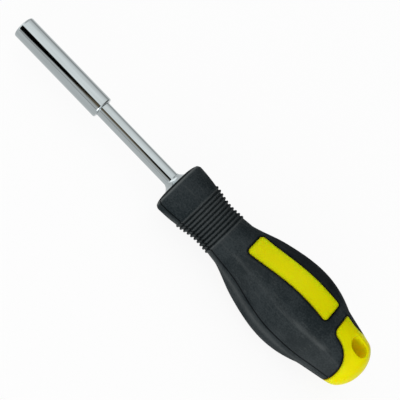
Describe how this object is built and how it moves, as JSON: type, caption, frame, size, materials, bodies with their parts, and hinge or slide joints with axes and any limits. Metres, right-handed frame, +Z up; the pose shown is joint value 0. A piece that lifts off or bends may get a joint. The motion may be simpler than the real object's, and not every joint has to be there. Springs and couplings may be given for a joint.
{
  "type": "screwdriver handle",
  "caption": "Hand driver with a chromed hex bit socket on a round shank, and a dark soft grip with ribbed neck and lobed belly over a yellow core with long windows and a hang hole.",
  "frame": {"origin": "middle of the length and of the width, on the plane that the belly of the handle lies on", "axes": "+X along the tool from the bit socket to the butt, +Z up through the upper window and the hang hole, +Y across the tool"},
  "size_m": [0.1872, 0.032, 0.032],
  "materials": {
    "chrome_steel": "bright chrome plate on steel",
    "magnet_nickel": "dull nickel plate",
    "spring_steel": "drawn spring wire",
    "yellow_plastic": "moulded, half gloss",
    "black_rubber": "soft moulded skin, half matt"
  },
  "bodies": {
    "root": {"bit_sleeve": "chrome_steel", "bit_magnet": "magnet_nickel", "bit_ring": "spring_steel", "shank": "chrome_steel", "shank_collar": "chrome_steel", "handle_core": "yellow_plastic", "soft_grip": "black_rubber"}
  },
  "joints": []
}
